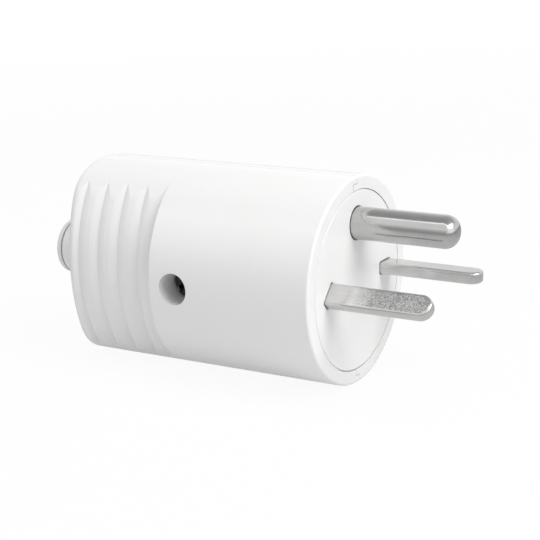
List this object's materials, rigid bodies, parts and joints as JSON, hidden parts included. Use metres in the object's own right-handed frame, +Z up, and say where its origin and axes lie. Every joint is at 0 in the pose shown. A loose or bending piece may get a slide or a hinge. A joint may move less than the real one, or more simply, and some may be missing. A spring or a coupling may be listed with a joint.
{
  "type": "low voltage plug",
  "caption": "Round hand-wired low voltage plug with a ribbed grip, one round pin and two flat blades, one of them turned, and a cable bushing at the rear.",
  "frame": {"origin": "centre of the front face, which meets the socket", "axes": "+X along the plug towards the pins' tips, +Z up through the round pin, and -Y towards the side with the screw"},
  "size_m": [0.0874, 0.04, 0.04],
  "materials": {
    "housing_plastic": "white moulded plastic, satin gloss",
    "carrier_plastic": "white moulded plastic, satin gloss",
    "plated_brass": "nickel plated, smooth on the pin, lightly crazed on the blades",
    "terminal_steel": "zinc plated",
    "screw_steel": "darkened steel",
    "clamp_plastic": "white moulded plastic",
    "bushing_plastic": "white soft plastic"
  },
  "bodies": {
    "root": {"housing_near_half": "housing_plastic", "housing_far_half": "housing_plastic", "pin_carrier": "carrier_plastic", "round_pin": "plated_brass", "angled_blade": "plated_brass", "flat_blade": "plated_brass", "terminal_screws": "terminal_steel", "housing_screw": "screw_steel", "housing_nut": "screw_steel", "cord_clamp": "clamp_plastic", "cord_clamp_screws": "terminal_steel", "cable_bushing": "bushing_plastic"}
  },
  "joints": []
}
